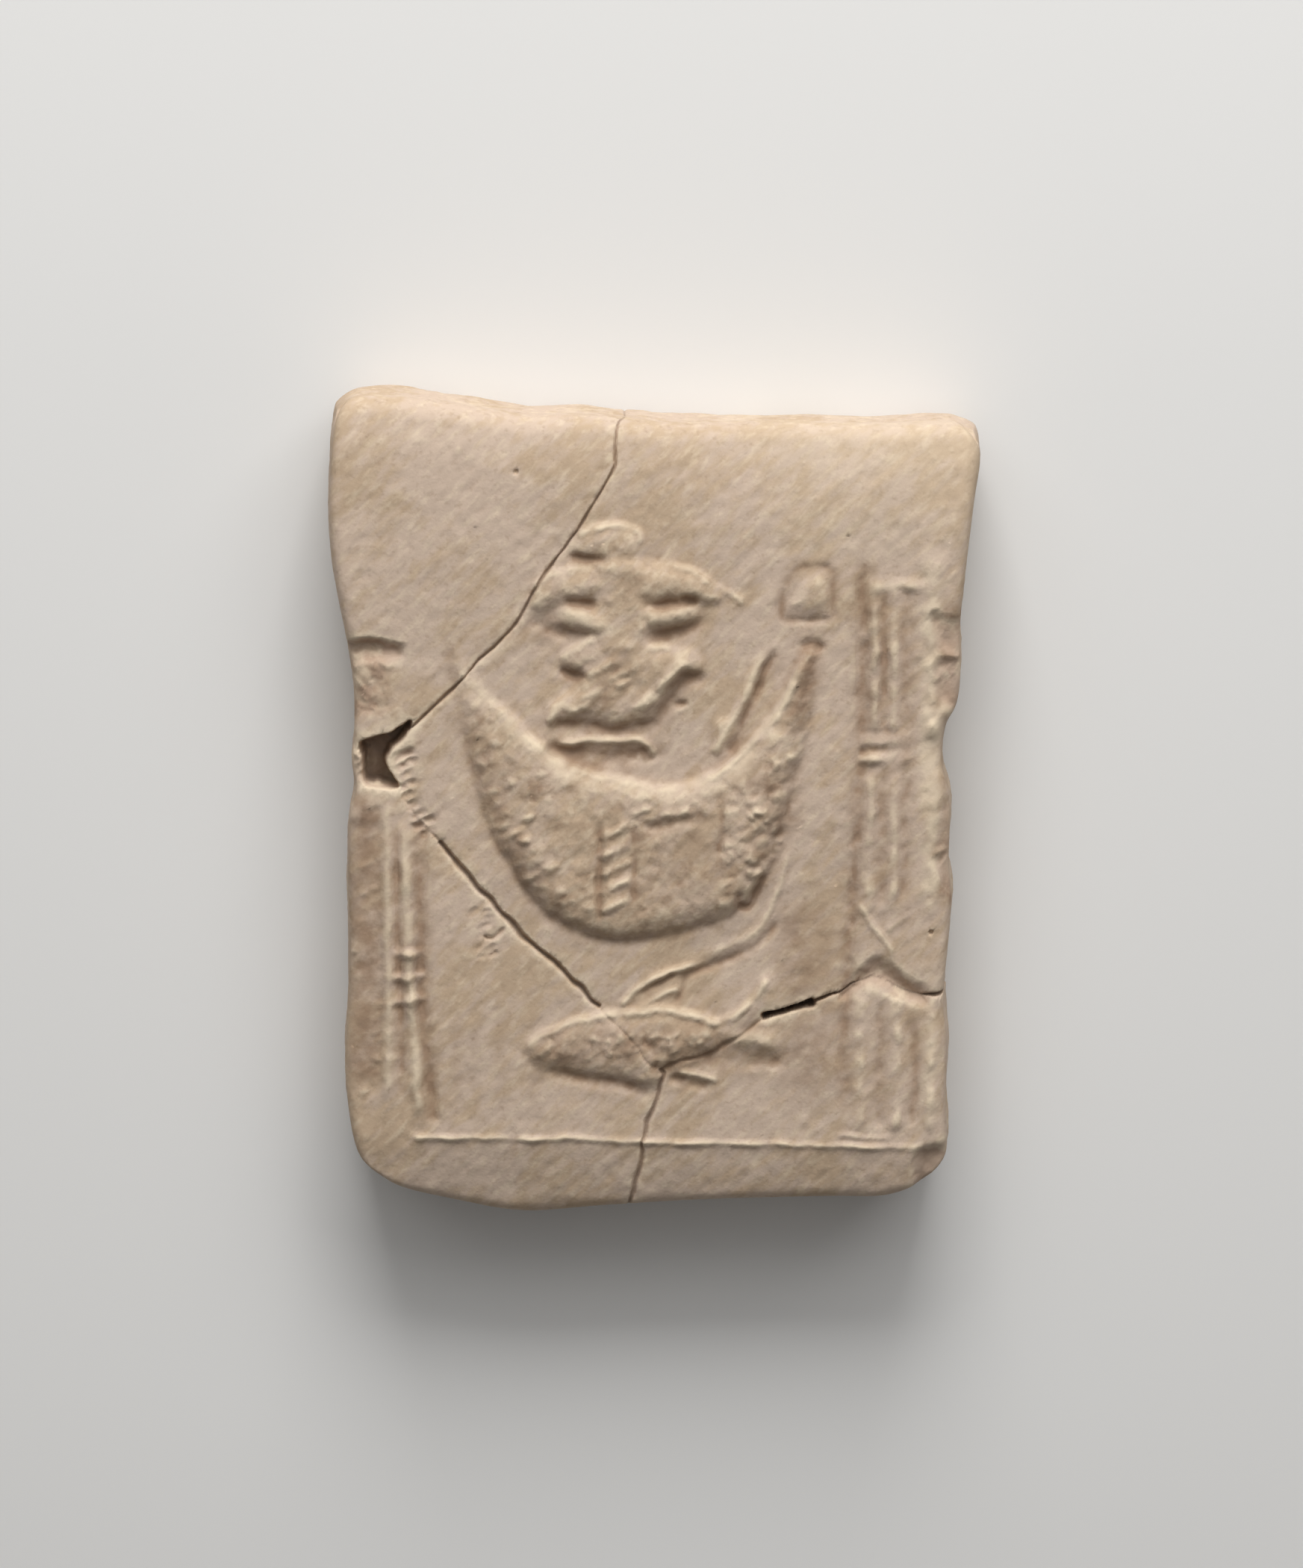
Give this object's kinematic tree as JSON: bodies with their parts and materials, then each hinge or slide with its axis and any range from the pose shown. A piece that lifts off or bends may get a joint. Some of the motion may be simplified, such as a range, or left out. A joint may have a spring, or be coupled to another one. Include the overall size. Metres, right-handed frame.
{
  "type": "clay tablet",
  "caption": "Worn moulded tablet of fired clay with a low relief of a robed figure seated in a reed boat over a fish, cracked and rejoined, with a flat back.",
  "frame": {"origin": "middle of the flat back, on the surface the tablet lies on", "axes": "+X across the picture to its right, +Y to the head of the picture, +Z out of the relief face"},
  "size_m": [0.0734, 0.0936, 0.0186],
  "materials": {
    "fired_clay": "low-fired buff clay, matt and dusty, with brown staining in the hollows and paler worn ridges"
  },
  "bodies": {
    "root": {"clay_tablet": "fired_clay"}
  },
  "joints": []
}
